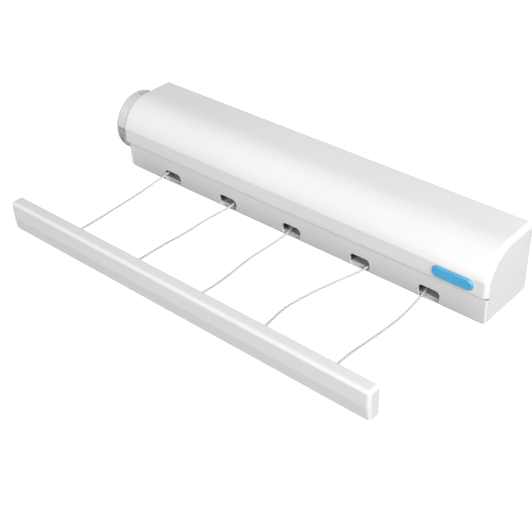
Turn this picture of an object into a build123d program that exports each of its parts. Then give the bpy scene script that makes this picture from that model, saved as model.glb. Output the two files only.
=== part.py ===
from build123d import *
import math
import os

# Wall-mounted retractable clothesline with five lines, lying on its flat underside.
# Millimetres. X runs along the housing, -Y is the side the lines come out of, +Z is up.
# The origin is on the wall face (Y = 0), at the middle of its bottom edge (Z = 0).

CUT = 1.0  # how far a cutting shape runs past the face it cuts
SEAM = 0.1  # gap between two mouldings that only meet

# ---- housing ---------------------------------------------------------------
HALF_LENGTH = 187.5
DEPTH = 57.5
HEIGHT = 60.0
SPLIT_Z = 22.5
SPLIT_GAP = 0.4
WALL = 2.5
CREASE_Z = 36.0
FRONT_RADIUS = 30.0
CREASE_FILLET = 4.6
END_FILLET = 4.2
END_WALL = 3.0
RIM_UPPER = 4.6
RIM_LOWER = 3.0
RIM_BOTTOM = 1.5
BASE_SETBACK = 0.6
BASE_LEFT_INSET = 3.0
BASE_LEFT_DRAFT = 1.7
BASE_LEFT_FILLET = 4.0
BASE_RIGHT_FILLET = 1.2
BASE_FRONT_FILLET = 1.2
BASE_FRONT_INNER_Y = -54.5
BACK_WALL_TOP = HEIGHT - WALL - SEAM
TONGUE_X = (-174.0, 134.0)
TONGUE_Y = (-54.9, -53.6)
TONGUE_Z = (SPLIT_Z - 6.0, SPLIT_Z + 3.0)

# ---- ribs and bosses in the housing ------------------------------------------
FLOOR_RIB_X = (-98.0, -30.0, 40.0, 110.0)
FLOOR_RIB_T = 1.8
FLOOR_RIB_Y = (-54.8, -2.0)
FLOOR_RIB_TOP = 7.0
COVER_RIB_X = (-100.0, -30.0, 40.0, 104.0)
COVER_RIB_T = 1.6
COVER_RIB_Y = (-36.0, -14.0)
COVER_RIB_BOTTOM = 53.6
CRADLE_X = (-181.4, -176.9)
CRADLE_T = 1.3
CRADLE_Y = (-40.0, -20.0)
CRADLE_TOP = 10.0
ROOTED = 0.5  # how far a rib or boss runs into the wall that carries it

# ---- reel axis and the pieces on it ----------------------------------------
AXIS_Y = -30.0
AXIS_Z = 31.5
AXLE_R = 4.0
AXLE_X = (-195.0, 183.6)
RUNNING = 0.05
SPOOL_X = (-130.0, -65.0, 5.5, 74.0, 128.0)
SPOOL_GAP = 42.0
FLANGE_R = 20.0
FLANGE_T = 1.5
CORE_R = 13.5
CORE_WALL = 1.8
HUB_WALL = 2.0
WOUND_R = 17.5
WOUND_GAP = 0.1
SPACER_R = 8.0
REEL_LEFT = -174.6

# ---- bearings ------------------------------------------------------------------
BUSH_R = 6.0
BUSH_FLANGE_R = 8.0
PLATE_X = (-180.0, -177.0)
PLATE_GAP = 0.3
PLATE_Y = (-54.2, -2.7)
PLATE_BOTTOM = 2.6
PLATE_BOSS_R = 10.0
PLATE_HOLES = ((-14.0, 15.0), (-43.0, 15.0), (-12.0, 46.0))
PLATE_HOLE_R = 5.0
LEFT_BUSH_X = (-181.0, -176.2)
LEFT_FLANGE_X = (-176.2, -174.9)
RIGHT_BUSH_X = (178.7, 184.2)
RIGHT_FLANGE_X = (177.5, 178.7)

# ---- right-hand end plate --------------------------------------------------------
END_GAP = 0.06
END_FLANGE_X = (182.4, HALF_LENGTH - END_WALL)
END_FLANGE_Y = (-53.6, -2.9)
END_FLANGE_BOTTOM = 2.9
END_BOSS_X = (178.7, 183.0)
END_BOSS_R = 9.0
END_BORE_TO = 184.6
STANDOFF_X = (180.0, 183.0)
STANDOFF_R = 3.4

# ---- knob --------------------------------------------------------------------
KNOB_X = (-199.8, -188.1)
KNOB_R = 27.2
KNOB_EDGE = 1.8
KNOB_HUB_R = 7.0
KNOB_HUB_END = -183.5
KNOB_HUB_GAP = 0.6
DISH_DEPTH = 3.5
DISH_R = KNOB_R - 4.5
GRIP_HALF = 4.2
GRIP_X = (KNOB_X[0] + 0.4, KNOB_X[0] + 5.0)
GRIP_END_R = KNOB_R - 4.0
GRIP_BOSS_R = 8.0
FLUTES = 3
FLUTE_ANGLE = 73.0
FLUTE_R = 60.0
FLUTE_DEPTH = 2.6
FLUTE_START = 2.2
CAP_POCKET_R = 5.0
CAP_R = 4.95
CAP_X = (KNOB_X[0] + 0.1, KNOB_X[0] + 1.1)
CAP_EDGE = 0.4
KNOB_SCREW_R = 1.55
KNOB_SCREW_HOLE_R = 1.6
KNOB_SCREW_HEAD_R = 3.6
KNOB_SCREW_HEAD_T = 2.2
KNOB_SCREW_LENGTH = 10.0
CROSS_DEPTH = 1.0
CROSS_WIDTH = 0.8
CROSS_LENGTH = 5.2

# ---- ratchet, pawl and lock button -----------------------------------------
TEETH = 12
TOOTH_R = 17.0
ROOT_R = 14.3
TOOTH_PHASE = 184.5
RATCHET_X = (154.0, 160.0)
PAWL_X = (155.0, 157.5)
PAWL_HUB_R = 3.6
PAWL_FACE_Y = -53.4
PIVOT_Y = -50.5
PIVOT_Z = 11.5
PAWL_OUTLINE = (
    (-52.8, PIVOT_Z),
    (PAWL_FACE_Y, PIVOT_Z + 2.0),
    (PAWL_FACE_Y, 33.6),
    (-52.2, 35.8),
    (-51.2, 35.6),
    (-47.98, 32.75),
    (-47.76, 31.16),
    (-50.5, 30.9),
    (-50.4, 17.0),
    (-48.2, PIVOT_Z),
)
PIN_R = 1.5
PIN_X = (151.9, 162.1)
PIN_SEAT_GAP = 0.02
EAR_X = ((152.2, 154.4), (159.6, 161.8))
EAR_OUTLINE = ((-54.8, 2.0), (-44.0, 2.0), (-46.6, 15.4), (-54.8, 15.4))
PAWL_SPRING_X = 157.85
PAWL_SPRING_R = 2.1
PAWL_SPRING_WIRE_R = 0.25
PAWL_SPRING_PITCH = 0.55
PAWL_SPRING_TURNS = 2.25
PAWL_SPRING_TOP_Z = 20.0
PAWL_SPRING_REST_Y = -50.05
PAWL_SPRING_HOOK_X = 155.6
PAWL_SPRING_FOOT = 3.6
PAWL_SPRING_BEND = 0.9
BUTTON_X = 158.0
BUTTON_Z = 29.8
BUTTON_LENGTH = 35.0
BUTTON_HEIGHT = 9.6
BUTTON_Y = (-58.9, -54.5)
BUTTON_EDGE = 1.1
BUTTON_CLEAR = 0.2
BUTTON_LIP = 1.0
BUTTON_LIP_T = 0.7
PAD_R = 3.0
PAD_OVERHANG = 0.2
PAD_ROOT_Y = -56.0

# ---- power spring ------------------------------------------------------------
CUP_X = (163.6, 180.0)
CUP_R = 20.0
CUP_WALL = 1.3
CUP_FLOOR = 1.6
CUP_BORE_R = 9.3
CUP_COVER_T = 1.2
CUP_COVER_BORE_R = 9.0
ARBOR_R = 7.0
ARBOR_X = (162.8, 177.2)
STRIP_X = (164.6, 176.4)
STRIP_T = 0.5
STRIP_TURNS = 9
STRIP_GAP = 0.1
STEPS_PER_TURN = 24
CUP_SCREW_ANGLES = (90.0, 210.0, 330.0)
CUP_SCREW_RADIUS = 14.0
CUP_SCREW_R = 1.2
CUP_SCREW_END = 184.4
CUP_SCREW_HEAD_R = 2.6
CUP_SCREW_HEAD_T = 1.6
CUP_HOLE_R = 1.35
STANDOFF_HOLE_R = 1.25

# ---- line outlets, lines and bar ----------------------------------------------
SLOT_X = (-130.6, -64.7, 5.4, 74.7, 138.8)
SLOT_Z = 6.1
SLOT_W = 19.0
SLOT_H = 9.8
SLOT_CORNER = 3.6
SLOT_INNER_Y = -54.2
GUIDE_WALL = 0.6
GUIDE_Y = (-57.0, -55.6)
GUIDE_EDGE = 0.35
LINE_D = 2.0
BAR_HALF = 183.5
BAR_BACK_Y = -180.5
BAR_FRONT_Y = -191.0
BAR_HEIGHT = 26.5
BAR_CREASE_Z = 12.0
BAR_LEAN = 1.5
BAR_WALL = 1.6
BAR_FILLET = 3.0
BAR_LOWER_FILLET = 1.5
BAR_PLATE_Y = (-182.2, -180.6)
BAR_PLATE_GAP = 0.05
BAR_HOLE_X = (-132.0, -64.0, 5.5, 71.5, 136.5)
BAR_HOLE_Z = 6.2
EYELET_R = 2.4
EYELET_BORE_R = 1.2
EYELET_Y = (-182.9, -180.1)
EYELET_LIP_R = 3.4
EYELET_LIP_Y = (-180.6, -180.1)
KNOT_R = 2.5
KNOT_Y = -185.4
KNOT_NECK_Y = (-185.0, -180.4)

# Route of each line, from its reel to the bar.
LINE_ROUTES = (
    (
        (-134.0, -26.0, 13.4),
        (-136.0, -44.0, 9.6),
        (-137.0, -64.0, 7.2),
        (-136.0, -92.0, 5.0),
        (-135.0, -122.0, 4.5),
        (-132.8, -152.0, 4.8),
        (-132.0, -180.0, 6.2),
    ),
    (
        (-60.0, -26.0, 13.4),
        (-57.0, -45.0, 9.4),
        (-59.0, -62.0, 5.2),
        (-65.6, -80.0, 1.7),
        (-65.4, -106.0, 1.1),
        (-67.4, -134.0, 1.3),
        (-65.4, -158.0, 2.8),
        (-64.0, -180.0, 6.2),
    ),
    (
        (4.0, -26.0, 13.4),
        (2.6, -42.0, 8.2),
        (2.4, -60.0, 2.7),
        (0.8, -80.0, 1.3),
        (-0.4, -100.0, 1.1),
        (1.6, -120.0, 1.2),
        (3.4, -142.0, 1.3),
        (3.8, -162.0, 3.0),
        (5.5, -180.0, 6.2),
    ),
    (
        (84.0, -26.0, 13.4),
        (84.2, -42.0, 8.8),
        (82.6, -58.0, 3.6),
        (73.4, -78.0, 1.3),
        (67.0, -104.0, 1.1),
        (62.4, -132.0, 1.2),
        (66.2, -156.0, 1.6),
        (71.5, -180.0, 6.2),
    ),
    (
        (134.0, -26.0, 13.4),
        (133.6, -42.0, 8.2),
        (134.2, -60.0, 2.5),
        (136.0, -80.0, 1.2),
        (136.0, -102.0, 1.1),
        (133.8, -126.0, 1.2),
        (132.0, -152.0, 1.7),
        (136.5, -180.0, 6.2),
    ),
)

# ---- fixings -------------------------------------------------------------------
CASE_SCREW_X = (-165.0, -97.5, 40.0, 168.0)
CASE_SCREW_Z = 51.0
CASE_SCREW_R = 1.45
CASE_SCREW_Y = (-11.8, -2.0)
CASE_HEAD_R = 3.2
CASE_HEAD_Y = (-2.4, -0.4)
CASE_HOLE_R = 1.7
CASE_SINK_R = 3.4
CASE_BOSS_R = 4.6
CASE_BOSS_Y = (-5.5, -2.0)
LUG_HALF = 5.0
LUG_Y = (-13.0, -5.6)
LUG_BOTTOM = 46.0
LUG_HOLE_R = 1.5
LUG_HOLE_Y = (-12.4, -5.0)
WALL_HOLE_X = (-150.0, 150.0)
WALL_HOLE_Z = 52.5
WALL_HOLE_R = 2.6
WALL_BOSS_R = 5.4
WALL_BOSS_Y = (-4.5, -2.0)
WALL_BOSS_Z = 51.9
BAR_SCREW_X = (-172.0, -98.0, 38.0, 172.0)
BAR_SCREW_Z = 16.0
BAR_SCREW_R = 1.2
BAR_SCREW_Y = (-187.5, -181.0)
BAR_HEAD_R = 2.5
BAR_SINK_R = 2.7
BAR_HEAD_Y = (-181.6, -180.7)
BAR_POST_R = 3.0
BAR_POST_HOLE_R = 1.25
BAR_POST_HOLE_Y = -188.0
BAR_PLATE_HOLE_R = 1.4


# ---- helpers -------------------------------------------------------------------
def block(x, y, z):
    """Box between the two values given for each axis."""
    size = [abs(pair[1] - pair[0]) for pair in (x, y, z)]
    centre = [(pair[0] + pair[1]) / 2 for pair in (x, y, z)]
    return Pos(*centre) * Box(*size)


def past(pair, cut=CUT):
    """The same stretch, longer by the cut at both ends."""
    return min(pair) - cut, max(pair) + cut


def rod_x(x, radius, y=AXIS_Y, z=AXIS_Z):
    """Cylinder along X between two values of x."""
    return Pos((x[0] + x[1]) / 2, y, z) * Rot(0, 90, 0) * Cylinder(radius, abs(x[1] - x[0]))


def rod_y(y, radius, x, z):
    """Cylinder along Y between two values of y."""
    return Pos(x, (y[0] + y[1]) / 2, z) * Rot(90, 0, 0) * Cylinder(radius, abs(y[1] - y[0]))


def tube_x(x, outer, inner):
    """Tube along the reel axis."""
    return rod_x(x, outer) - rod_x(x, inner)


def prism_x(points, x):
    """Polygon given as (y, z) points, extruded between two values of x."""
    face = make_face(Polyline(*points, close=True))
    return extrude(Plane.YZ.offset(x[0]) * face, x[1] - x[0])


def stadium_y(length, height, x, z, y):
    """Round-ended bar seen from the front, extruded between two values of y."""
    face = SlotOverall(length, height)
    return extrude(Plane((x, y[0], z), x_dir=(1, 0, 0), z_dir=(0, 1, 0)) * face, y[1] - y[0])


def window_y(width, height, corner, x, z, y):
    """Rectangle with rounded corners seen from the front, extruded between two values of y."""
    face = RectangleRounded(width, height, corner)
    return extrude(Plane((x, y[0], z), x_dir=(1, 0, 0), z_dir=(0, 1, 0)) * face, y[1] - y[0])


def tube_along(route, radius):
    """Round tube whose centre follows the route."""
    section = Plane(origin=route @ 0, z_dir=route % 0) * Circle(radius)
    return sweep(section, path=route)


def polar(radius, degrees):
    """Point (y, z) at a radius and angle round the reel axis."""
    angle = math.radians(degrees)
    return AXIS_Y + radius * math.cos(angle), AXIS_Z + radius * math.sin(angle)


def save(shape, name):
    shape.label = name
    export_step(shape, f"parts/{name}.step")


# ---- housing -------------------------------------------------------------------
def front_curve(inset):
    """Arc from the flat top down to the crease above the band."""
    centre_z = HEIGHT - FRONT_RADIUS
    centre_y = math.sqrt(FRONT_RADIUS**2 - (CREASE_Z - centre_z) ** 2) - DEPTH
    radius = FRONT_RADIUS - inset
    end = 180 - math.degrees(math.acos((centre_y + DEPTH - inset) / radius))
    return CenterArc((centre_y, centre_z), radius, 90, end - 90)


def cover_section(inset, bottom, back):
    """D-shaped section of the cover: flat top, curved front, upright band below."""
    front = -(DEPTH - inset)
    top = HEIGHT - inset
    curve = front_curve(inset)
    edges = [
        Line((front, bottom), (back, bottom)),
        Line((back, bottom), (back, top)),
        Line((back, top), curve @ 0),
        curve,
        Line(curve @ 1, (front, bottom)),
    ]
    return make_face(edges)


def cover_prism(inset, bottom, back, x):
    section = cover_section(inset, bottom, back)
    return extrude(Plane.YZ.offset(x[0]) * section, x[1] - x[0])


def end_opening(clearance, x):
    """Opening in the right-hand end that the end plate fills."""
    inset = RIM_LOWER + clearance
    y = (-(DEPTH - BASE_SETBACK) + inset, -inset)
    lower = block(x, y, (RIM_BOTTOM + clearance, SPLIT_Z + CUT))
    return lower + cover_prism(RIM_UPPER + clearance, SPLIT_Z - CUT, -inset, x)


def right_end_cut():
    return end_opening(0, past((HALF_LENGTH - END_WALL, HALF_LENGTH)))


def cover_outside():
    """Solid D-section with the soft edge round its right-hand end."""
    bottom = SPLIT_Z + SPLIT_GAP
    body = cover_prism(0, bottom, 0, (-HALF_LENGTH, HALF_LENGTH))
    crease = body.edges().filter_by(Axis.X).filter_by_position(Axis.Z, CREASE_Z - 0.01, CREASE_Z + 0.01)
    body = fillet(crease, CREASE_FILLET)
    rim = body.edges().filter_by_position(Axis.X, HALF_LENGTH - 0.01, HALF_LENGTH + 0.01)
    rim = [edge for edge in rim if edge.center().Z > bottom + 0.5 and edge.center().Y < -0.5]
    return fillet(rim, END_FILLET)


def cover_lugs():
    """Blocks that the case screws bite into."""
    lugs = Part()
    for x in CASE_SCREW_X:
        lug = block((x - LUG_HALF, x + LUG_HALF), LUG_Y, (LUG_BOTTOM, HEIGHT - WALL + ROOTED))
        lugs += lug - rod_y(LUG_HOLE_Y, LUG_HOLE_R, x, CASE_SCREW_Z)
    return lugs


def cover_ribs():
    """Short ribs across the roof of the cover."""
    ribs = Part()
    half = COVER_RIB_T / 2
    for x in COVER_RIB_X:
        ribs += block((x - half, x + half), COVER_RIB_Y, (COVER_RIB_BOTTOM, HEIGHT - WALL + ROOTED))
    return ribs


def make_cover():
    inner_x = (-HALF_LENGTH + WALL, HALF_LENGTH - END_WALL)
    body = cover_outside() - cover_prism(WALL, SPLIT_Z + SPLIT_GAP - CUT, CUT, inner_x)
    body -= right_end_cut()
    body -= rod_x(past((-HALF_LENGTH, -HALF_LENGTH + WALL)), KNOB_HUB_R + KNOB_HUB_GAP)
    body -= stadium_y(
        BUTTON_LENGTH + 2 * BUTTON_CLEAR,
        BUTTON_HEIGHT + 2 * BUTTON_CLEAR,
        BUTTON_X,
        BUTTON_Z,
        past((-DEPTH, -DEPTH + WALL)),
    )
    return body + cover_lugs() + cover_ribs()


def base_outside():
    """Solid tray with its drafted left end and rounded corners."""
    left = -HALF_LENGTH + BASE_LEFT_INSET
    body = block((left, HALF_LENGTH), (-(DEPTH - BASE_SETBACK), 0), (0, SPLIT_Z))
    wedge = Polyline((left, SPLIT_Z), (left, 0), (left + BASE_LEFT_DRAFT, 0), close=True)
    body -= extrude(Plane.XZ * make_face(wedge), DEPTH + CUT, both=True)
    lower_ends = body.edges().filter_by(Axis.Y).group_by(Axis.Z)[0].sort_by(Axis.X)
    body = fillet(lower_ends[0], BASE_LEFT_FILLET)
    upright = body.edges().filter_by(Axis.Z).group_by(Axis.Y)[0].sort_by(Axis.X)
    body = fillet(upright[-1], BASE_RIGHT_FILLET)
    lengthwise = body.edges().filter_by(Axis.X).group_by(Axis.Z)[0].sort_by(Axis.Y)
    return fillet(lengthwise[0], BASE_FRONT_FILLET)


def make_base():
    left = -HALF_LENGTH + BASE_LEFT_INSET
    inner_x = (left + WALL, HALF_LENGTH - END_WALL)
    back_x = (left, HALF_LENGTH - END_WALL - SEAM)
    body = base_outside()
    body -= block(inner_x, (BASE_FRONT_INNER_Y, -WALL), (WALL, SPLIT_Z + CUT))
    body += block(back_x, (-WALL, 0), (SPLIT_Z - CUT, BACK_WALL_TOP))
    body -= right_end_cut()
    body += block(TONGUE_X, TONGUE_Y, TONGUE_Z)
    return body + base_ribs() + base_bosses() + pawl_bracket() - base_holes()


def base_ribs():
    """Low ribs across the floor and the cradle that holds the bearing plate."""
    ribs = Part()
    half = FLOOR_RIB_T / 2
    for x in FLOOR_RIB_X:
        ribs += block((x - half, x + half), FLOOR_RIB_Y, (WALL - ROOTED, FLOOR_RIB_TOP))
    for x in CRADLE_X:
        ribs += block((x, x + CRADLE_T), CRADLE_Y, (WALL - ROOTED, CRADLE_TOP))
    return ribs


def base_bosses():
    """Thickened rounds on the back wall, one at each screw."""
    bosses = Part()
    for x in CASE_SCREW_X:
        bosses += rod_y(CASE_BOSS_Y, CASE_BOSS_R, x, CASE_SCREW_Z)
    for x in WALL_HOLE_X:
        bosses += rod_y(WALL_BOSS_Y, WALL_BOSS_R, x, WALL_BOSS_Z)
    return bosses


def pawl_bracket():
    """Two ears that carry the pawl pin."""
    ears = Part()
    for x in EAR_X:
        hole = rod_x(past(x), PIN_R + PIN_SEAT_GAP, PIVOT_Y, PIVOT_Z)
        ears += prism_x(EAR_OUTLINE, x) - hole
    return ears


def base_holes():
    """Line outlets, wall fixing holes and case screw holes."""
    holes = Part()
    through = past((CASE_BOSS_Y[0], 0))
    for x in SLOT_X:
        holes += guide_outline(x, (-DEPTH - CUT, SLOT_INNER_Y))
    for x in WALL_HOLE_X:
        holes += rod_y(through, WALL_HOLE_R, x, WALL_HOLE_Z)
    for x in CASE_SCREW_X:
        holes += rod_y(through, CASE_HOLE_R, x, CASE_SCREW_Z)
        holes += rod_y((CASE_HEAD_Y[0], CUT), CASE_SINK_R, x, CASE_SCREW_Z)
    return holes


def guide_outline(x, y):
    """Outside of a line guide."""
    width = SLOT_W + 2 * GUIDE_WALL
    height = SLOT_H + 2 * GUIDE_WALL
    return window_y(width, height, SLOT_CORNER + GUIDE_WALL, x, SLOT_Z, y)


def make_guide(x):
    """Smooth eyelet that lines one outlet."""
    ring = guide_outline(x, GUIDE_Y)
    ring -= window_y(SLOT_W, SLOT_H, SLOT_CORNER, x, SLOT_Z, past(GUIDE_Y))
    front = ring.faces().sort_by(Axis.Y)[0]
    return fillet(front.inner_wires()[0].edges(), GUIDE_EDGE)


def make_end_plate():
    plate = end_opening(END_GAP, (HALF_LENGTH - END_WALL, HALF_LENGTH))
    plate += block(END_FLANGE_X, END_FLANGE_Y, (END_FLANGE_BOTTOM, SPLIT_Z + CUT))
    plate += cover_prism(WALL + PLATE_GAP, SPLIT_Z + SEAM, END_FLANGE_Y[1], END_FLANGE_X)
    plate += rod_x(END_BOSS_X, END_BOSS_R)
    plate -= rod_x((END_BOSS_X[0] - CUT, END_BORE_TO), BUSH_R)
    for angle in CUP_SCREW_ANGLES:
        y, z = polar(CUP_SCREW_RADIUS, angle)
        plate += rod_x(STANDOFF_X, STANDOFF_R, y, z)
        plate -= rod_x((STANDOFF_X[0] - CUT, CUP_SCREW_END + SEAM), STANDOFF_HOLE_R, y, z)
    return plate


def make_bearing_plate():
    plate = cover_prism(WALL + PLATE_GAP, PLATE_BOTTOM, PLATE_Y[1], PLATE_X)
    plate &= block(past(PLATE_X), (PLATE_Y[0], 0), (PLATE_BOTTOM, HEIGHT))
    plate += rod_x(PLATE_X, PLATE_BOSS_R)
    for y, z in PLATE_HOLES:
        plate -= rod_x(past(PLATE_X), PLATE_HOLE_R, y, z)
    return plate - rod_x(past(PLATE_X), BUSH_R)


def make_bush(sleeve, flange):
    """Flanged plain bearing for the axle."""
    bush = rod_x(sleeve, BUSH_R) + rod_x(flange, BUSH_FLANGE_R)
    return bush - rod_x(past(sleeve + flange), AXLE_R + RUNNING)


# ---- reel ----------------------------------------------------------------------
def make_spool(x):
    """Two flanges on a hollow core round a hub."""
    half = SPOOL_GAP / 2
    edge = half + FLANGE_T
    gap = (x - half, x + half)
    spool = rod_x((x - edge, x + edge), CORE_R)
    spool += rod_x((x - edge, x - half), FLANGE_R) + rod_x((x + half, x + edge), FLANGE_R)
    spool -= tube_x(gap, CORE_R - CORE_WALL, AXLE_R + HUB_WALL)
    return spool - rod_x(past((x - edge, x + edge)), AXLE_R)


def make_wound(x):
    """Full winding of one line on its spool."""
    half = SPOOL_GAP / 2 - WOUND_GAP
    return tube_x((x - half, x + half), WOUND_R, CORE_R)


def make_spacers():
    """Sleeves between the spools."""
    edge = SPOOL_GAP / 2 + FLANGE_T
    starts = [REEL_LEFT] + [x + edge for x in SPOOL_X]
    ends = [x - edge for x in SPOOL_X]
    return Compound(children=[tube_x(pair, SPACER_R, AXLE_R) for pair in zip(starts, ends)])


def make_ratchet():
    """Saw-toothed wheel with the sleeve that sets it off from the last spool."""
    outline = []
    for tooth in range(TEETH):
        angle = TOOTH_PHASE + tooth * 360 / TEETH
        outline += [polar(ROOT_R, angle), polar(TOOTH_R, angle)]
    sleeve = (SPOOL_X[-1] + SPOOL_GAP / 2 + FLANGE_T, ARBOR_X[0])
    wheel = prism_x(outline, RATCHET_X) + rod_x(sleeve, SPACER_R)
    return wheel - rod_x(past(sleeve), AXLE_R)


def make_axle():
    hole = (AXLE_X[0] - CUT, AXLE_X[0] + KNOB_SCREW_LENGTH + 2)
    return rod_x(AXLE_X, AXLE_R) - rod_x(hole, KNOB_SCREW_HOLE_R)


def make_knob():
    """Round knob with a dished face, a grip bar across it and shallow flutes."""
    knob = rod_x(KNOB_X, KNOB_R)
    knob = fillet(knob.edges().sort_by(Axis.X)[0], KNOB_EDGE)
    knob -= rod_x((KNOB_X[0] - CUT, KNOB_X[0] + DISH_DEPTH), DISH_R)
    grip = block(GRIP_X, (AXIS_Y - GRIP_HALF, AXIS_Y + GRIP_HALF), (0, HEIGHT + 10))
    knob += grip & rod_x(GRIP_X, GRIP_END_R)
    knob += rod_x(GRIP_X, GRIP_BOSS_R)
    knob += rod_x((KNOB_X[1] - CUT, KNOB_HUB_END), KNOB_HUB_R)
    for flute in range(FLUTES):
        y, z = polar(KNOB_R + FLUTE_R - FLUTE_DEPTH, FLUTE_ANGLE + flute * 360 / FLUTES)
        knob -= rod_x((KNOB_X[0] + FLUTE_START, KNOB_X[1] + CUT), FLUTE_R, y, z)
    knob -= rod_x((AXLE_X[0], KNOB_HUB_END + CUT), AXLE_R)
    return knob - rod_x((KNOB_X[0] - CUT, AXLE_X[0]), CAP_POCKET_R)


def make_knob_screw():
    """Cross-head screw into the end of the axle."""
    top = AXLE_X[0] - KNOB_SCREW_HEAD_T
    slot_x = (top - CUT, top + CROSS_DEPTH)
    wide = CROSS_LENGTH / 2
    narrow = CROSS_WIDTH / 2
    screw = rod_x((top, AXLE_X[0]), KNOB_SCREW_HEAD_R)
    screw -= block(slot_x, (AXIS_Y - wide, AXIS_Y + wide), (AXIS_Z - narrow, AXIS_Z + narrow))
    screw -= block(slot_x, (AXIS_Y - narrow, AXIS_Y + narrow), (AXIS_Z - wide, AXIS_Z + wide))
    return screw + rod_x((AXLE_X[0] - ROOTED, AXLE_X[0] + KNOB_SCREW_LENGTH), KNOB_SCREW_R)


def make_knob_cap():
    cap = rod_x(CAP_X, CAP_R)
    return fillet(cap.edges().sort_by(Axis.X)[0], CAP_EDGE)


# ---- power spring ----------------------------------------------------------------
def make_cup():
    cup = tube_x(CUP_X, CUP_R, CUP_R - CUP_WALL)
    floor = (CUP_X[1] - CUP_FLOOR, CUP_X[1])
    cup += tube_x(floor, CUP_R, CUP_BORE_R)
    for angle in CUP_SCREW_ANGLES:
        y, z = polar(CUP_SCREW_RADIUS, angle)
        cup -= rod_x(past(floor), CUP_HOLE_R, y, z)
    return cup


def make_cup_cover():
    return tube_x((CUP_X[0] - CUP_COVER_T, CUP_X[0]), CUP_R, CUP_COVER_BORE_R)


def make_cup_screws():
    seat = CUP_X[1] - CUP_FLOOR
    screws = []
    for angle in CUP_SCREW_ANGLES:
        y, z = polar(CUP_SCREW_RADIUS, angle)
        head = rod_x((seat - CUP_SCREW_HEAD_T, seat), CUP_SCREW_HEAD_R, y, z)
        screws.append(head + rod_x((seat - ROOTED, CUP_SCREW_END), CUP_SCREW_R, y, z))
    return Compound(children=screws)


def make_power_spring():
    """Flat spiral strip from the arbor out to the wall of the cup."""
    inner = ARBOR_R + STRIP_GAP
    outer = CUP_R - CUP_WALL - STRIP_GAP
    steps = STRIP_TURNS * STEPS_PER_TURN
    near, far = [], []
    for step in range(steps + 1):
        radius = inner + (outer - inner - STRIP_T) * step / steps
        angle = 360 * STRIP_TURNS * step / steps
        near.append(polar(radius, angle))
        far.append(polar(radius + STRIP_T, angle))
    return prism_x(near + far[::-1], STRIP_X)


# ---- lock ------------------------------------------------------------------------
def make_button():
    """Round-ended button with a lip behind the wall and a pad against the pawl."""
    body = stadium_y(BUTTON_LENGTH, BUTTON_HEIGHT, BUTTON_X, BUTTON_Z, BUTTON_Y)
    body = fillet(body.edges().group_by(Axis.Y)[0], BUTTON_EDGE)
    lip = stadium_y(
        BUTTON_LENGTH + 2 * BUTTON_LIP,
        BUTTON_HEIGHT + 2 * BUTTON_LIP,
        BUTTON_X,
        BUTTON_Z,
        (-DEPTH + WALL, -DEPTH + WALL + BUTTON_LIP_T),
    )
    pad_x = past(PAWL_X, PAD_OVERHANG)
    pad = rod_x(pad_x, PAD_R, PAWL_FACE_Y - PAD_R, BUTTON_Z)
    pad &= block(pad_x, (PAD_ROOT_Y, PAWL_FACE_Y), (BUTTON_Z - PAD_R, BUTTON_Z + PAD_R))
    return body + lip + pad


def make_pawl():
    pawl = prism_x(PAWL_OUTLINE, PAWL_X) + rod_x(PAWL_X, PAWL_HUB_R, PIVOT_Y, PIVOT_Z)
    return pawl - rod_x(past(PAWL_X), PIN_R + RUNNING, PIVOT_Y, PIVOT_Z)


def make_pawl_spring():
    """Torsion spring round the pawl pin: one leg to the front wall, one behind the pawl."""
    rise = PAWL_SPRING_PITCH * PAWL_SPRING_TURNS
    placed = Pos(PAWL_SPRING_X, PIVOT_Y, PIVOT_Z) * Rot(0, 90, 0)
    coil = placed * Helix(PAWL_SPRING_PITCH, rise, PAWL_SPRING_R)
    start = coil @ 0
    end = coil @ 1
    foot = Line(start, start - Vector(0, PAWL_SPRING_FOOT, 0))
    knee = Vector(end.X, PAWL_SPRING_REST_Y, PAWL_SPRING_TOP_Z)
    hook = Vector(PAWL_SPRING_HOOK_X, PAWL_SPRING_REST_Y, PAWL_SPRING_TOP_Z)
    arm = FilletPolyline(end, knee, hook, radius=PAWL_SPRING_BEND)
    spring = tube_along(coil, PAWL_SPRING_WIRE_R)
    spring += tube_along(foot, PAWL_SPRING_WIRE_R)
    return spring + tube_along(arm, PAWL_SPRING_WIRE_R)


# ---- lines -------------------------------------------------------------------------
def bend_radii(points):
    """Fillet radius at each inner point: 0.45 of the shorter run over tan(half the turn)."""
    radii = []
    for before, here, after in zip(points, points[1:], points[2:]):
        first = Vector(*here) - Vector(*before)
        second = Vector(*after) - Vector(*here)
        turn = math.radians(first.get_angle(second))
        radii.append(0.45 * min(first.length, second.length) / math.tan(turn / 2))
    return radii


def make_line(points):
    radii = bend_radii(points)
    print("line radii", [round(radius, 1) for radius in radii])
    route = FilletPolyline(*points, radius=radii)
    tube = tube_along(route, LINE_D / 2)
    expected = route.length * math.pi * (LINE_D / 2) ** 2
    print("line length", round(route.length, 1), "volume ratio", round(tube.volume / expected, 4))
    return tube


# ---- bar ---------------------------------------------------------------------------
def bar_section(inset, back):
    """Section of the bar: flat top, upright upper front, lower front leaning in."""
    front = BAR_FRONT_Y + inset
    return [
        (back, inset),
        (front + BAR_LEAN, inset),
        (front, BAR_CREASE_Z),
        (front, BAR_HEIGHT - inset),
        (back, BAR_HEIGHT - inset),
    ]


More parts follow.
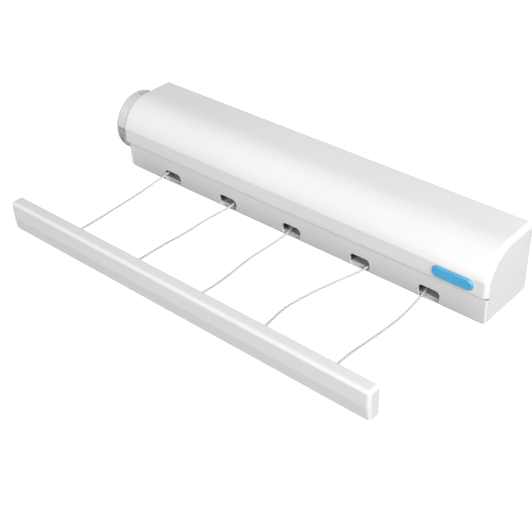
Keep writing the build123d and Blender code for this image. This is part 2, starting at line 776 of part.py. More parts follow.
def bar_outside():
    """Solid bar with its rounded top front edge and ends."""
    body = prism_x(bar_section(0, BAR_BACK_Y), (-BAR_HALF, BAR_HALF))
    top_front = body.edges().filter_by(Axis.X).group_by(Axis.Z)[-1].sort_by(Axis.Y)[0]
    ends = [edge for edge in body.edges() if abs(abs(edge.center().X) - BAR_HALF) < 0.01]
    ends = [edge for edge in ends if edge.center().Y < BAR_BACK_Y - 0.1 and edge.center().Z > 0.1]
    body = fillet([top_front, *ends], BAR_FILLET)
    lower = [edge for edge in body.edges() if abs(abs(edge.center().X) - BAR_HALF) < 0.01]
    lower = [edge for edge in lower if edge.center().Z < 0.01]
    return fillet(lower, BAR_LOWER_FILLET)


def make_bar_shell():
    inner = (-BAR_HALF + BAR_WALL, BAR_HALF - BAR_WALL)
    body = bar_outside() - prism_x(bar_section(BAR_WALL, BAR_BACK_Y + CUT), inner)
    for x in BAR_SCREW_X:
        body += rod_y((BAR_FRONT_Y + CUT, BAR_PLATE_Y[0] - SEAM), BAR_POST_R, x, BAR_SCREW_Z)
        body -= rod_y((BAR_POST_HOLE_Y, BAR_BACK_Y), BAR_POST_HOLE_R, x, BAR_SCREW_Z)
    return body


def make_bar_back():
    """Plate that closes the back of the bar."""
    gap = BAR_WALL + BAR_PLATE_GAP
    x = BAR_HALF - gap
    plate = block((-x, x), BAR_PLATE_Y, (gap, BAR_HEIGHT - gap))
    for hole in BAR_HOLE_X:
        plate -= rod_y(past(BAR_PLATE_Y), EYELET_R, hole, BAR_HOLE_Z)
    for hole in BAR_SCREW_X:
        plate -= rod_y(past(BAR_PLATE_Y), BAR_PLATE_HOLE_R, hole, BAR_SCREW_Z)
        plate -= rod_y((BAR_HEAD_Y[0], BAR_BACK_Y), BAR_SINK_R, hole, BAR_SCREW_Z)
    return plate


def make_bar_eyelets():
    eyelets = []
    for x in BAR_HOLE_X:
        ring = rod_y(EYELET_Y, EYELET_R, x, BAR_HOLE_Z)
        ring += rod_y(EYELET_LIP_Y, EYELET_LIP_R, x, BAR_HOLE_Z)
        eyelets.append(ring - rod_y(past(EYELET_Y), EYELET_BORE_R, x, BAR_HOLE_Z))
    return Compound(children=eyelets)


def make_knots():
    """Stopper knot on the end of each line, inside the bar."""
    knots = []
    for x in BAR_HOLE_X:
        knot = Pos(x, KNOT_Y, BAR_HOLE_Z) * Sphere(KNOT_R)
        knots.append(knot + rod_y(KNOT_NECK_Y, LINE_D / 2, x, BAR_HOLE_Z))
    return Compound(children=knots)


def make_bar_screws():
    screws = []
    for x in BAR_SCREW_X:
        head = rod_y(BAR_HEAD_Y, BAR_HEAD_R, x, BAR_SCREW_Z)
        screws.append(head + rod_y(BAR_SCREW_Y, BAR_SCREW_R, x, BAR_SCREW_Z))
    return Compound(children=screws)


def make_case_screws():
    screws = []
    for x in CASE_SCREW_X:
        head = rod_y(CASE_HEAD_Y, CASE_HEAD_R, x, CASE_SCREW_Z)
        screws.append(head + rod_y(CASE_SCREW_Y, CASE_SCREW_R, x, CASE_SCREW_Z))
    return Compound(children=screws)


# ---- write every piece ----------------------------------------------------------------
os.makedirs("parts", exist_ok=True)
save(make_base(), "base_shell")
save(make_cover(), "cover")
save(make_end_plate(), "end_plate")
save(make_bearing_plate(), "bearing_plate")
save(make_bush(LEFT_BUSH_X, LEFT_FLANGE_X), "bush_left")
save(make_bush(RIGHT_BUSH_X, RIGHT_FLANGE_X), "bush_right")
save(make_case_screws(), "case_screws")
save(make_axle(), "axle")
save(make_spacers(), "spacers")
save(make_ratchet(), "ratchet_wheel")
save(make_knob(), "knob")
save(make_knob_screw(), "knob_screw")
save(make_knob_cap(), "knob_cap")
save(make_cup(), "spring_cup")
save(make_cup_cover(), "spring_cover")
save(make_cup_screws(), "cup_screws")
save(tube_x(ARBOR_X, ARBOR_R, AXLE_R), "spring_arbor")
save(make_power_spring(), "power_spring")
save(make_button(), "lock_button")
save(make_pawl(), "pawl")
save(rod_x(PIN_X, PIN_R, PIVOT_Y, PIVOT_Z), "pawl_pin")
save(make_pawl_spring(), "pawl_spring")
save(make_bar_shell(), "bar_shell")
save(make_bar_back(), "bar_back")
save(make_bar_eyelets(), "bar_eyelets")
save(make_knots(), "line_knots")
save(make_bar_screws(), "bar_screws")
for number, (outlet, spool, route) in enumerate(zip(SLOT_X, SPOOL_X, LINE_ROUTES), start=1):
    save(make_guide(outlet), f"line_guide_{number}")
    save(make_spool(spool), f"spool_{number}")
    save(make_wound(spool), f"wound_line_{number}")
    save(make_line(route), f"line_{number}")
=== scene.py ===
import math

import bpy
import numpy as np
from mathutils import Matrix, Vector


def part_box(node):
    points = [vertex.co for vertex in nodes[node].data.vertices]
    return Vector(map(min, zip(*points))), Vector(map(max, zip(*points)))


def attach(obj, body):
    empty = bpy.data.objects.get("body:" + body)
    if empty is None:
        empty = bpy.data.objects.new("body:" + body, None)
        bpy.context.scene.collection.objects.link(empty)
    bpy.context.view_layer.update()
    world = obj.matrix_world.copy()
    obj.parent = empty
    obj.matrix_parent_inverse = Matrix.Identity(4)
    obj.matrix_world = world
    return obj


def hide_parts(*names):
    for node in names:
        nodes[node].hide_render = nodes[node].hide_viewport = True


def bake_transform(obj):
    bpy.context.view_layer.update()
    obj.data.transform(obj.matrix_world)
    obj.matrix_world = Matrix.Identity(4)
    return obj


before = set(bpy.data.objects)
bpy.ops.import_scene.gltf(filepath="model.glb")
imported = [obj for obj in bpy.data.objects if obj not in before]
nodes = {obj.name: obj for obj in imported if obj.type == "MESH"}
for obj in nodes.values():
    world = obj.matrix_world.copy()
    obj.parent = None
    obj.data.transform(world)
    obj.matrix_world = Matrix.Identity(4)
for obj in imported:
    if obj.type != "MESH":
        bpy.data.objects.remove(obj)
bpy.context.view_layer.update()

MM = 0.001
LINES = range(1, 6)

# ---- camera ------------------------------------------------------------------
CAMERA_AT = (0.4734, -0.6051, 0.4890)
CAMERA_RIGHT = (0.75381, 0.65651, -0.02767)
CAMERA_UP = (-0.36609, 0.45457, 0.81201)
CAMERA_BACK = (0.54566, -0.60197, 0.58299)
CAMERA_CLIP = (0.01, 50)
SENSOR = 36.0
LENS = 72.14

# ---- places on the CAD model ---------------------------------------------------
AXIS = np.array((0.0, -30.0, 31.5)) * MM  # a point on the reel's axis, which runs along X
KNOB_R = 27.2 * MM
KNOB_RIM = (1.9 * MM, 2.3 * MM)  # behind the knob's face: where the painted shade on its flats begins
SEAM_Z = (22.45 * MM, 22.95 * MM)  # the gap between the casings, and a hair past its sides
SEAM_BLUR = 0.06 * MM
SEAM_BACK_Y = -50.0 * MM

# ---- looks ---------------------------------------------------------------------
PLASTIC_IOR = 1.53
COAT_ROUGHNESS = 0.12
EDGE_COSINE = (0.86, 0.995)  # between rounded and true normal: on an edge, and off it
BEVEL_SAMPLES = 4
FLAT_DEPTH = (0.25 * MM, 0.05 * MM)  # below the knob's rim: surely a flat, and surely the rim
# painted shade in the gap between the casings, along the front
SEAM_SHADE = (0.09, 0.09, 0.09)
GROOVE_SHADE_SPAN = (0.12, 0.55)  # painted shade down a strand's side: where it starts, and where it is darkest

# ---- lines -------------------------------------------------------------------
LINE_D = 2.0 * MM
STRANDS = 3
STRAND_SIDES = 8
LAY_LENGTH = 6.6 * MM
RINGS_PER_LAY = 14
STRAND_SHARE = 0.58  # a strand's part of the line's radius: soft strands press into each other
CURVE_STEPS = 24
WINDING_SIDES = 6
WINDING_SHARE = 0.97  # a wound turn's part of the line's radius, so that turns don't touch
STEPS_PER_TURN = 20
SECOND_LAYER = 1.45  # its centre above the core, in line diameters: it beds into the first
LAYER_CHANGE = 5  # steps on each side of the end of the first layer, to climb to the second
LOOSE_TURNS = 2  # from the last wound turn to the start of the free line

# ---- stage ---------------------------------------------------------------------
FLOOR_HALF = 12.0
FLOOR_Z = -0.05 * MM
# The photograph's ground is blank white, yet hardly lights the object. So the camera sees a
# white floor and surround, and the light they give off or bounce is dimmer.
FLOOR_TONE = (0.90, 0.90, 0.90)
FLOOR_SHADE = (0.885, 0.885, 0.887)
FLOOR_BOUNCE = (0.17, 0.17, 0.17)
FLOOR_GLOW = 0.6
WORLD = 0.3
LIGHT_TARGET = (0.0, -0.09, 0.02)
LIGHT_DISTANCE = 2.6
LIGHT_SIZE = 1.2
LIGHTS = (
    # name, degrees round from the front, degrees up, power
    ("right_softbox", 80, 35, 90.0),
    ("front_softbox", 0, 12, 53.0),
    ("back_softbox", 180, 12, 36.0),
)

# Control points of each line's route, from its reel to the bar, in millimetres. Between outlet
# and bar they follow the photograph. Inside the housing and behind the bar they are guessed.
LINE_ROUTES = (
    (
        (-134.0, -26.0, 13.4),
        (-136.0, -44.0, 9.6),
        (-137.0, -64.0, 7.2),
        (-136.0, -92.0, 5.0),
        (-135.0, -122.0, 4.5),
        (-132.8, -152.0, 4.8),
        (-132.0, -180.0, 6.2),
    ),
    (
        (-60.0, -26.0, 13.4),
        (-57.0, -45.0, 9.4),
        (-59.0, -62.0, 5.2),
        (-65.6, -80.0, 1.7),
        (-65.4, -106.0, 1.1),
        (-67.4, -134.0, 1.3),
        (-65.4, -158.0, 2.8),
        (-64.0, -180.0, 6.2),
    ),
    (
        (4.0, -26.0, 13.4),
        (2.6, -42.0, 8.2),
        (2.4, -60.0, 2.7),
        (0.8, -80.0, 1.3),
        (-0.4, -100.0, 1.1),
        (1.6, -120.0, 1.2),
        (3.4, -142.0, 1.3),
        (3.8, -162.0, 3.0),
        (5.5, -180.0, 6.2),
    ),
    (
        (84.0, -26.0, 13.4),
        (84.2, -42.0, 8.8),
        (82.6, -58.0, 3.6),
        (73.4, -78.0, 1.3),
        (67.0, -104.0, 1.1),
        (62.4, -132.0, 1.2),
        (66.2, -156.0, 1.6),
        (71.5, -180.0, 6.2),
    ),
    (
        (134.0, -26.0, 13.4),
        (133.6, -42.0, 8.2),
        (134.2, -60.0, 2.5),
        (136.0, -80.0, 1.2),
        (136.0, -102.0, 1.1),
        (133.8, -126.0, 1.2),
        (132.0, -152.0, 1.7),
        (136.5, -180.0, 6.2),
    ),
)


def make_camera():
    data = bpy.data.cameras.new("camera")
    data.sensor_width = SENSOR
    data.lens = LENS
    data.clip_start, data.clip_end = CAMERA_CLIP
    camera = bpy.data.objects.new("camera", data)
    turn = Matrix((CAMERA_RIGHT, CAMERA_UP, CAMERA_BACK)).transposed()
    camera.matrix_world = Matrix.Translation(CAMERA_AT) @ turn.to_4x4()
    bpy.context.scene.collection.objects.link(camera)
    bpy.context.scene.camera = camera


# ---- material helpers -----------------------------------------------------------
def scaled(colour, factor):
    return tuple(c * factor for c in colour)


class Nodes:
    """Adds and links shader nodes in one material."""

    def __init__(self, name):
        self.material = bpy.data.materials.new(name)
        self.material.use_nodes = True
        self.tree = self.material.node_tree
        self.tree.nodes.clear()
        self.output = self.tree.nodes.new("ShaderNodeOutputMaterial")
        self.shader = self.tree.nodes.new("ShaderNodeBsdfPrincipled")
        self.link(self.shader.outputs["BSDF"], self.output.inputs["Surface"])

    def link(self, source, target):
        self.tree.links.new(source, target)

    def add(self, kind, **values):
        """New node: lower-case keys are its properties, the others its inputs."""
        node = self.tree.nodes.new("ShaderNode" + kind)
        for key, value in values.items():
            if hasattr(node, key):
                setattr(node, key, value)
            else:
                node.inputs[key.replace("_", " ")].default_value = value
        return node

    def object_point(self, scale=(1, 1, 1)):
        """Place on the piece, in metres times scale."""
        place = self.add("TexCoord").outputs["Object"]
        mapping = self.add("Mapping")
        mapping.inputs["Scale"].default_value = scale
        self.link(place, mapping.inputs["Vector"])
        return mapping.outputs["Vector"]

    def noise(self, point, scale, detail=2.0, roughness=0.5):
        node = self.add("TexNoise", Scale=scale, Detail=detail, Roughness=roughness)
        self.link(point, node.inputs["Vector"])
        return node.outputs["Fac"]

    def spread(self, value, low, high, start=0.3, end=0.7):
        """Maps a 0 to 1 texture between start and end onto low to high."""
        node = self.add("MapRange")
        limits = {"From Min": start, "From Max": end, "To Min": low, "To Max": high}
        for key, number in limits.items():
            node.inputs[key].default_value = number
        self.link(value, node.inputs["Value"])
        return node.outputs["Result"]

    def mix(self, factor, first, second):
        """Mix of two colours. Each may be an output socket or three numbers."""
        node = self.add("Mix", data_type="RGBA")
        if hasattr(factor, "node"):
            self.link(factor, node.inputs[0])
        else:
            node.inputs[0].default_value = factor
        for slot, colour in ((6, first), (7, second)):
            if hasattr(colour, "node"):
                self.link(colour, node.inputs[slot])
            else:
                node.inputs[slot].default_value = (*colour, 1)
        return node.outputs[2]

    def math(self, operation, first, second=0.0):
        node = self.add("Math", operation=operation)
        for slot, value in ((0, first), (1, second)):
            if hasattr(value, "node"):
                self.link(value, node.inputs[slot])
            else:
                node.inputs[slot].default_value = value
        return node.outputs[0]

    def bump(self, height, strength, distance, normal=None):
        node = self.add("Bump", Strength=strength, Distance=distance)
        self.link(height, node.inputs["Height"])
        if normal is not None:
            self.link(normal, node.inputs["Normal"])
        return node.outputs["Normal"]

    def soft_edges(self, radius):
        """Normal that is rounded over at sharp edges, and a 0 to 1 mask of those edges."""
        soft = self.add("Bevel", samples=BEVEL_SAMPLES, Radius=radius)
        hard = self.add("NewGeometry")
        product = self.add("VectorMath", operation="DOT_PRODUCT")
        self.link(soft.outputs["Normal"], product.inputs[0])
        self.link(hard.outputs["Normal"], product.inputs[1])
        mask = self.spread(product.outputs["Value"], 1.0, 0.0, *EDGE_COSINE)
        return soft.outputs["Normal"], mask


def seam_shade_mask(m):
    """Where shade is painted: 1 in the gap between the two casings along the front, 0 elsewhere."""
    parts = m.add("SeparateXYZ")
    m.link(m.object_point(), parts.inputs[0])
    height = parts.outputs["Z"]
    above = m.spread(height, 0.0, 1.0, SEAM_Z[0] - SEAM_BLUR, SEAM_Z[0] + SEAM_BLUR)
    below = m.spread(height, 1.0, 0.0, SEAM_Z[1] - SEAM_BLUR, SEAM_Z[1] + SEAM_BLUR)
    front = m.spread(parts.outputs["Y"], 1.0, 0.0, SEAM_BACK_Y - 1.0 * MM, SEAM_BACK_Y)
    return m.math("MULTIPLY", m.math("MULTIPLY", above, below), front)


def plastic(
    name, colour, shade, rough, grain_depth=0.06, edge=0.45, coat=0.0, edge_highlight=None, seam_shade=False
):
    """Moulded plastic: fine spark-eroded grain, faint flow marks, soft edges painted paler as a
    highlight.

    edge is the radius of the softened edges in millimetres. The edges' painted highlight takes the
    given highlight colour, or else a paler copy of colour. A true flag at the end paints shade into
    the gap between the casings.
    """
    m = Nodes(name)
    point = m.object_point()
    flow = m.noise(m.object_point((6.0, 22.0, 22.0)), 1.0, 3.0, 0.6)
    cloud = m.noise(point, 38.0, 4.0, 0.6)
    normal, edges = m.soft_edges(edge * MM)
    tone = m.mix(m.spread(flow, 0.0, 1.0), colour, shade)
    tone = m.mix(m.spread(cloud, 0.0, 0.35), tone, shade)
    highlight_tone = edge_highlight or tuple(min(1.0, c * 1.06 + 0.02) for c in colour)
    # painted highlight on the softened edges
    tone = m.mix(m.math("MULTIPLY", edges, 0.6), tone, highlight_tone)
    # painted shade in the gap between the casings
    if seam_shade:
        tone = m.mix(seam_shade_mask(m), tone, SEAM_SHADE)
    m.link(tone, m.shader.inputs["Base Color"])
    scuff = m.noise(m.object_point((60.0, 900.0, 900.0)), 1.0, 2.0, 0.7)
    gloss = m.spread(m.noise(point, 120.0, 3.0, 0.6), rough - 0.05, rough + 0.06)
    gloss = m.math("ADD", gloss, m.spread(scuff, 0.0, 0.05, 0.62, 0.75))
    m.link(gloss, m.shader.inputs["Roughness"])
    fine = m.noise(point, 2300.0, 2.0, 0.6)
    sink = m.noise(point, 26.0, 1.0, 0.4)
    normal = m.bump(fine, grain_depth, 0.15 * MM, normal)
    normal = m.bump(sink, 0.10, 0.6 * MM, normal)
    m.link(normal, m.shader.inputs["Normal"])
    m.shader.inputs["IOR"].default_value = PLASTIC_IOR
    m.shader.inputs["Coat Weight"].default_value = coat
    m.shader.inputs["Coat Roughness"].default_value = COAT_ROUGHNESS
    return m.material


def knob_plastic(name, colour, flat_shade_colour, rough):
    """Satin plastic with fine lines along the axis. The flats are ribbed and painted darker as
    shade, and the edges get a painted highlight.
    """
    m = Nodes(name)
    place = m.add("TexCoord").outputs["Object"]
    offset = m.add("VectorMath", operation="SUBTRACT")
    m.link(place, offset.inputs[0])
    offset.inputs[1].default_value = tuple(AXIS)
    across = m.add("VectorMath", operation="MULTIPLY")
    m.link(offset.outputs["Vector"], across.inputs[0])
    across.inputs[1].default_value = (0, 1, 1)
    radius = m.add("VectorMath", operation="LENGTH")
    m.link(across.outputs["Vector"], radius.inputs[0])
    flat_radii = (KNOB_R - depth for depth in FLAT_DEPTH)
    flats = m.spread(radius.outputs["Value"], 1.0, 0.0, *flat_radii)
    parts = m.add("SeparateXYZ")
    m.link(place, parts.inputs[0])
    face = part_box("knob")[0].x
    behind_face = m.spread(parts.outputs["X"], 0.0, 1.0, *(face + depth for depth in KNOB_RIM))
    # painted shade on the knob's flats
    shaded_flats = m.math("MULTIPLY", flats, behind_face)
    streak = m.noise(m.object_point((25.0, 900.0, 900.0)), 1.0, 3.0, 0.7)
    cloud = m.noise(place, 60.0, 3.0, 0.6)
    normal, edges = m.soft_edges(0.35 * MM)
    land = m.mix(m.spread(streak, 0.0, 1.0), colour, scaled(colour, 0.78))
    ribs = m.spread(streak, 0.0, 1.0, 0.4, 0.6)
    tone = m.mix(shaded_flats, land, m.mix(ribs, flat_shade_colour, scaled(flat_shade_colour, 0.62)))
    tone = m.mix(m.spread(cloud, 0.0, 0.3), tone, scaled(colour, 0.9))
    # painted highlight on the softened edges
    tone = m.mix(m.math("MULTIPLY", edges, 0.5), tone, scaled(colour, 1.08))
    m.link(tone, m.shader.inputs["Base Color"])
    m.link(m.spread(streak, rough - 0.06, rough + 0.1), m.shader.inputs["Roughness"])
    m.link(m.bump(streak, 0.25, 0.12 * MM, normal), m.shader.inputs["Normal"])
    m.shader.inputs["IOR"].default_value = PLASTIC_IOR
    return m.material


def metal(name, colour, rough, along, edge=0.15):
    """Metal with fine lines along one axis. edge is as in plastic."""
    m = Nodes(name)
    lines = tuple(150.0 if axis == along else 5200.0 for axis in "XYZ")
    streak = m.noise(m.object_point(lines), 1.0, 3.0, 0.65)
    stain = m.noise(m.object_point(), 210.0, 4.0, 0.6)
    normal, _ = m.soft_edges(edge * MM)
    tone = m.mix(m.spread(streak, 0.0, 1.0), colour, scaled(colour, 0.72))
    tone = m.mix(m.spread(stain, 0.0, 0.4), tone, scaled(colour, 0.6))
    m.link(tone, m.shader.inputs["Base Color"])
    m.link(m.spread(streak, rough - 0.08, rough + 0.12), m.shader.inputs["Roughness"])
    m.link(m.bump(streak, 0.12, 0.05 * MM, normal), m.shader.inputs["Normal"])
    m.shader.inputs["Metallic"].default_value = 1.0
    return m.material


def yarn(name, colour, shade, groove):
    """Spun polyester: fibres along the strand, and painted shade down in the grooves between
    strands.
    """
    m = Nodes(name)
    uv = m.add("UVMap").outputs["UV"]
    mapping = m.add("Mapping")
    mapping.inputs["Scale"].default_value = (900.0, 14.0, 1.0)
    m.link(uv, mapping.inputs["Vector"])
    fibre = m.noise(mapping.outputs["Vector"], 1.0, 3.0, 0.7)
    patch = m.noise(m.object_point(), 420.0, 3.0, 0.6)
    parts = m.add("SeparateXYZ")
    m.link(uv, parts.inputs[0])
    depth = m.spread(parts.outputs["Y"], 0.0, 1.0, *GROOVE_SHADE_SPAN)
    tone = m.mix(m.spread(fibre, 0.0, 1.0), colour, shade)
    tone = m.mix(m.spread(patch, 0.0, 0.35), tone, shade)
    # painted shade: darker down a strand's side into the grooves, and on a wound turn's spool side
    tone = m.mix(depth, tone, groove)
    m.link(tone, m.shader.inputs["Base Color"])
    m.link(m.spread(fibre, 0.62, 0.85), m.shader.inputs["Roughness"])
    m.link(m.bump(fibre, 0.55, 0.10 * MM), m.shader.inputs["Normal"])
    m.shader.inputs["Sheen Weight"].default_value = 0.15
    m.shader.inputs["Sheen Roughness"].default_value = 0.45
    return m.material


# ---- cord geometry -----------------------------------------------------------------
def route_points(name, route):
    """Points along the smooth curve that a route's control points give."""
    curve = bpy.data.curves.new(name, "CURVE")
    curve.dimensions = "3D"
    curve.resolution_u = CURVE_STEPS
    spline = curve.splines.new("NURBS")
    spline.points.add(len(route) - 1)
    for point, place in zip(spline.points, route):
        point.co = (*(value * MM for value in place), 1)
    spline.order_u = 3
    spline.use_endpoint_u = True
    holder = bpy.data.objects.new(name, curve)
    bpy.context.scene.collection.objects.link(holder)
    bpy.context.view_layer.update()
    evaluated = holder.evaluated_get(bpy.context.evaluated_depsgraph_get())
    mesh = bpy.data.meshes.new_from_object(evaluated)
    points = np.array([v.co for v in mesh.vertices], float)
    bpy.data.meshes.remove(mesh)
    bpy.data.objects.remove(holder)
    bpy.data.curves.remove(curve)
    return points


def running_length(points):
    """Distance of each point from the first, along the line."""
    steps = np.linalg.norm(np.diff(points, axis=0), axis=1)
    return np.concatenate(([0.0], np.cumsum(steps)))


def resample(points, step):
    """The same line with evenly spaced points, and their running length."""
    along = running_length(points)
    count = max(2, int(round(along[-1] / step)) + 1)
    wanted = np.linspace(0.0, along[-1], count)
    return np.stack([np.interp(wanted, along, points[:, k]) for k in range(3)], 1), wanted


def normals_along(points):
    """Two unit normals at each point, carried along without twist."""
    tangent = np.gradient(points, axis=0)
    tangent /= np.linalg.norm(tangent, axis=1)[:, None]
    normal = np.zeros_like(points)
    first = np.cross(tangent[0], (0.0, 0.0, 1.0))
    normal[0] = first / np.linalg.norm(first)
    for k in range(1, len(points)):
        n = normal[k - 1] - tangent[k] * (normal[k - 1] @ tangent[k])
        normal[k] = n / np.linalg.norm(n)
    return normal, np.cross(tangent, normal)


def tube_faces(rings, sides, start=0):
    """Quads round a tube, and one face over each end."""
    faces = []
    for k in range(rings - 1):
        for s in range(sides):
            a = start + k * sides + s
            b = start + k * sides + (s + 1) % sides
            faces.append((a, b, b + sides, a + sides))
    last = start + (rings - 1) * sides
    faces.append(tuple(start + s for s in range(sides))[::-1])
    faces.append(tuple(last + s for s in range(sides)))
    return faces


def tube_points(centre, outward, radius, sides):
    """Ring points round a centreline, and how far round from the outward side: 0 to 1."""
    tangent = np.gradient(centre, axis=0)
    tangent /= np.linalg.norm(tangent, axis=1)[:, None]
    first = outward - tangent * np.sum(tangent * outward, axis=1)[:, None]
    first /= np.linalg.norm(first, axis=1)[:, None]
    second = np.cross(tangent, first)
    turn = np.arange(sides) * 2 * math.pi / sides
    cosine, sine = np.cos(turn)[None, :, None], np.sin(turn)[None, :, None]
    ring = cosine * first[:, None, :] + sine * second[:, None, :]
    depth = np.tile((1 - np.cos(turn)) / 2, len(centre))
    return (centre[:, None, :] + ring * radius).reshape(-1, 3), depth


def mesh_piece(name, verts, faces, material, uvs=None):
    """Smooth-shaded object in the scene. uvs has one pair for each vertex."""
    mesh = bpy.data.meshes.new(name)
    mesh.from_pydata([tuple(v) for v in verts], [], faces)
    mesh.materials.append(material)
    mesh.polygons.foreach_set("use_smooth", [True] * len(mesh.polygons))
    if uvs is not None:
        layer = mesh.uv_layers.new(name="UVMap")
        loops = np.zeros(len(mesh.loops), np.int32)
        mesh.loops.foreach_get("vertex_index", loops)
        layer.data.foreach_set("uv", np.asarray(uvs, np.float32)[loops].ravel())
    mesh.validate()
    mesh.update()
    piece = bpy.data.objects.new(name, mesh)
    bpy.context.scene.collection.objects.link(piece)
    return piece


def twisted_mesh(name, centre, along, material):
    """Strands laid round a centreline, as one mesh. UV: distance along, and depth in a groove."""
    strand_r = LINE_D / 2 * STRAND_SHARE
    offset = LINE_D / 2 - strand_r
    normal, across = normals_along(centre)
    verts, faces, uvs = [], [], []
    for strand in range(STRANDS):
        angle = along / LAY_LENGTH * 2 * math.pi + strand * 2 * math.pi / STRANDS
        outward = np.cos(angle)[:, None] * normal + np.sin(angle)[:, None] * across
        rings, depth = tube_points(centre + offset * outward, outward, strand_r, STRAND_SIDES)
        faces.extend(tube_faces(len(centre), STRAND_SIDES, len(verts)))
        verts.extend(rings)
        uvs.extend(np.stack([np.repeat(along, STRAND_SIDES), depth], 1))
    return mesh_piece(name, verts, faces, material, uvs)


def make_line(number, material):
    """One free line: strands twisted round its route."""
    path = route_points(f"route_{number}", LINE_ROUTES[number - 1])
    centre, along = resample(path, LAY_LENGTH / RINGS_PER_LAY)
    piece = twisted_mesh(f"line_cord_{number}", centre, along, material)
    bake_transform(piece)
    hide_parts(f"line_{number}")


def winding_path(number):
    """Two layers of turns on a spool, then loose turns that lead to the free line's start."""
    wound_low, wound_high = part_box(f"wound_line_{number}")
    core = (wound_high.z - wound_low.z) / 2 - 2 * LINE_D
    left, right = wound_low.x + LINE_D / 2, wound_high.x - LINE_D / 2
    wound_steps = int((right - left) / LINE_D) * STEPS_PER_TURN
    steps = np.arange(wound_steps + 1) / wound_steps
    start = np.array(LINE_ROUTES[number - 1][0]) * MM
    leave = math.atan2(start[2] - AXIS[2], start[1] - AXIS[1])
    leave_r = math.hypot(start[2] - AXIS[2], start[1] - AXIS[1])
    first, second = core + LINE_D / 2, core + LINE_D * SECOND_LAYER
    x = np.concatenate((left + (right - left) * steps, right + (left - right) * steps[1:]))
    r = np.concatenate((np.full(len(steps), first), np.full(len(steps) - 1, second)))
    climb = slice(len(steps) - LAYER_CHANGE, len(steps) + LAYER_CHANGE)
    r[climb] = np.linspace(first, second, 2 * LAYER_CHANGE)
    loose_steps = LOOSE_TURNS * STEPS_PER_TURN
    loose = np.arange(1, loose_steps + 1) / loose_steps
    x = np.concatenate((x, left + (start[0] - left) * (3 * loose**2 - 2 * loose**3)))
    r = np.concatenate((r, second + (leave_r - second) * np.minimum(1, loose * 2)))
    angle = leave + np.arange(len(x))[::-1] * 2 * math.pi / STEPS_PER_TURN
    return np.stack([x, AXIS[1] + r * np.cos(angle), AXIS[2] + r * np.sin(angle)], 1)


def make_winding(number, material):
    """The rest of a line, wound on its spool as one plain tube."""
    centre = winding_path(number)
    outward = (centre - AXIS) * (0, 1, 1)
    rings, depth = tube_points(centre, outward, LINE_D / 2 * WINDING_SHARE, WINDING_SIDES)
    faces = tube_faces(len(centre), WINDING_SIDES)
    uvs = np.stack([np.repeat(running_length(centre), WINDING_SIDES), depth], 1)
    piece = mesh_piece(f"winding_{number}", rings, faces, material, uvs)
    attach(piece, "reel")
    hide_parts(f"wound_line_{number}")


# ---- stage -----------------------------------------------------------------------------
def make_floor():
    """White floor to the camera, darker to the light that bounces off it."""
    m = Nodes("floor_paper")
    mottle = m.noise(m.object_point(), 9.0, 3.0, 0.5)
    seen = m.mix(m.spread(mottle, 0.0, 1.0), FLOOR_TONE, FLOOR_SHADE)
    direct = m.add("LightPath").outputs["Is Camera Ray"]
    m.link(m.mix(direct, FLOOR_BOUNCE, seen), m.shader.inputs["Base Color"])
    m.shader.inputs["Emission Color"].default_value = (1, 1, 1, 1)
    m.link(m.math("MULTIPLY", direct, FLOOR_GLOW), m.shader.inputs["Emission Strength"])
    m.link(m.bump(m.noise(m.object_point(), 700.0), 0.03, 0.1 * MM), m.shader.inputs["Normal"])
    m.shader.inputs["Roughness"].default_value = 0.9
    m.shader.inputs["Specular IOR Level"].default_value = 0.1
    signs = ((-1, -1), (1, -1), (1, 1), (-1, 1))
    corners = [(FLOOR_HALF * x, FLOOR_HALF * y, FLOOR_Z) for x, y in signs]
    mesh_piece("floor", corners, [(0, 1, 2, 3)], m.material)


def make_light(name, round_from_front, up, power):
    """Square soft light that faces LIGHT_TARGET."""
    turn, rise = math.radians(round_from_front), math.radians(up)
    level = math.cos(rise)
    toward = Vector((math.sin(turn) * level, -math.cos(turn) * level, math.sin(rise)))
    data = bpy.data.lights.new(name, "AREA")
    data.shape = "SQUARE"
    data.size = LIGHT_SIZE
    data.energy = power
    light = bpy.data.objects.new(name, data)
    light.location = Vector(LIGHT_TARGET) + toward * LIGHT_DISTANCE
    light.rotation_euler = toward.to_track_quat("Z", "Y").to_euler()
    bpy.context.scene.collection.objects.link(light)


def make_world(strength):
    """Even white surround: dim as a light, plain white where the camera sees it."""
    world = bpy.data.worlds.new("studio")
    world.use_nodes = True
    tree = world.node_tree
    background = tree.nodes["Background"]
    background.inputs["Color"].default_value = (1, 1, 1, 1)
    seen = tree.nodes.new("ShaderNodeMapRange")
    seen.inputs["To Min"].default_value = strength
    path = tree.nodes.new("ShaderNodeLightPath")
    tree.links.new(path.outputs["Is Camera Ray"], seen.inputs["Value"])
    tree.links.new(seen.outputs["Result"], background.inputs["Strength"])
    bpy.context.scene.world = world


make_camera()

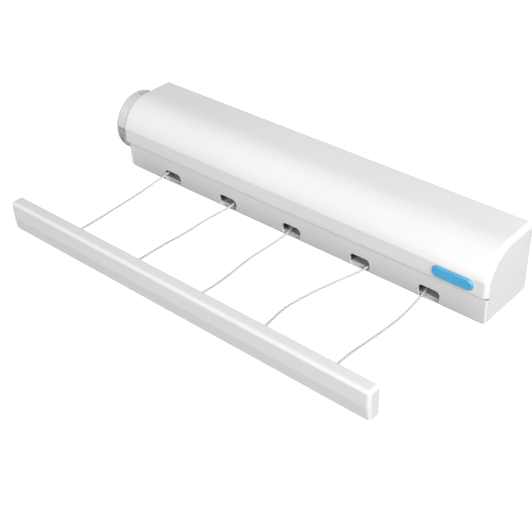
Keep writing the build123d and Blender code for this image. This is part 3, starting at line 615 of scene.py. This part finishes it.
# ---- materials --------------------------------------------------------------------------
white = plastic("housing_white", (0.634, 0.634, 0.632), (0.604, 0.604, 0.603), 0.36, seam_shade=True)
inner_white = plastic("inner_white", (0.634, 0.634, 0.632), (0.604, 0.604, 0.603), 0.36)
bar_white = plastic("bar_white", (0.614, 0.614, 0.613), (0.585, 0.585, 0.584), 0.34)
knob_white = knob_plastic("knob_white", (0.57, 0.57, 0.57), (0.47, 0.47, 0.47), 0.34)
blue = plastic(
    "button_blue",
    (0.068, 0.358, 0.615),
    (0.056, 0.326, 0.57),
    0.24,
    grain_depth=0.03,
    edge=0.6,
    coat=0.3,
    # the button's painted edge highlight, light blue
    edge_highlight=(0.32, 0.66, 0.86),
)
nylon = plastic("guide_nylon", (0.66, 0.66, 0.665), (0.62, 0.62, 0.625), 0.34, grain_depth=0.03)
spool_plastic = plastic("spool_nylon", (0.55, 0.55, 0.54), (0.50, 0.50, 0.49), 0.42)
acetal = plastic("acetal_dark", (0.028, 0.028, 0.03), (0.02, 0.02, 0.022), 0.3)
steel = metal("steel_bar", (0.62, 0.62, 0.63), 0.28, "X")
screw_steel = metal("screw_zinc", (0.66, 0.66, 0.66), 0.34, "Y")
spring_steel = metal("spring_blued", (0.20, 0.22, 0.28), 0.30, "Z")
brass = metal("bush_brass", (0.72, 0.50, 0.20), 0.32, "X")
# the last colour is the painted shade in the grooves between strands
yarn_white = yarn("yarn_white", (0.66, 0.66, 0.66), (0.50, 0.50, 0.50), (0.035, 0.035, 0.037))

FINISHES = (
    (white, ("cover", "base_shell")),
    (inner_white, ("end_plate", "bearing_plate", "spring_cup", "spring_cover")),
    (bar_white, ("bar_shell", "bar_back")),
    (knob_white, ("knob", "knob_cap")),
    (blue, ("lock_button",)),
    (nylon, ("bar_eyelets", *(f"line_guide_{n}" for n in LINES))),
    (spool_plastic, ("spacers", "spring_arbor", *(f"spool_{n}" for n in LINES))),
    (acetal, ("ratchet_wheel", "pawl")),
    (steel, ("axle", "pawl_pin")),
    (screw_steel, ("case_screws", "knob_screw", "cup_screws", "bar_screws")),
    (spring_steel, ("power_spring", "pawl_spring")),
    (brass, ("bush_left", "bush_right")),
    (yarn_white, ("line_knots",)),
)
for material, names in FINISHES:
    for name in names:
        mesh = nodes[name].data
        mesh.materials.clear()
        mesh.materials.append(material)

# ---- lines and stage --------------------------------------------------------------------
for number in LINES:
    make_line(number, yarn_white)
    make_winding(number, yarn_white)

make_floor()
make_world(WORLD)
for light in LIGHTS:
    make_light(*light)
bpy.context.scene.view_settings.view_transform = "Standard"
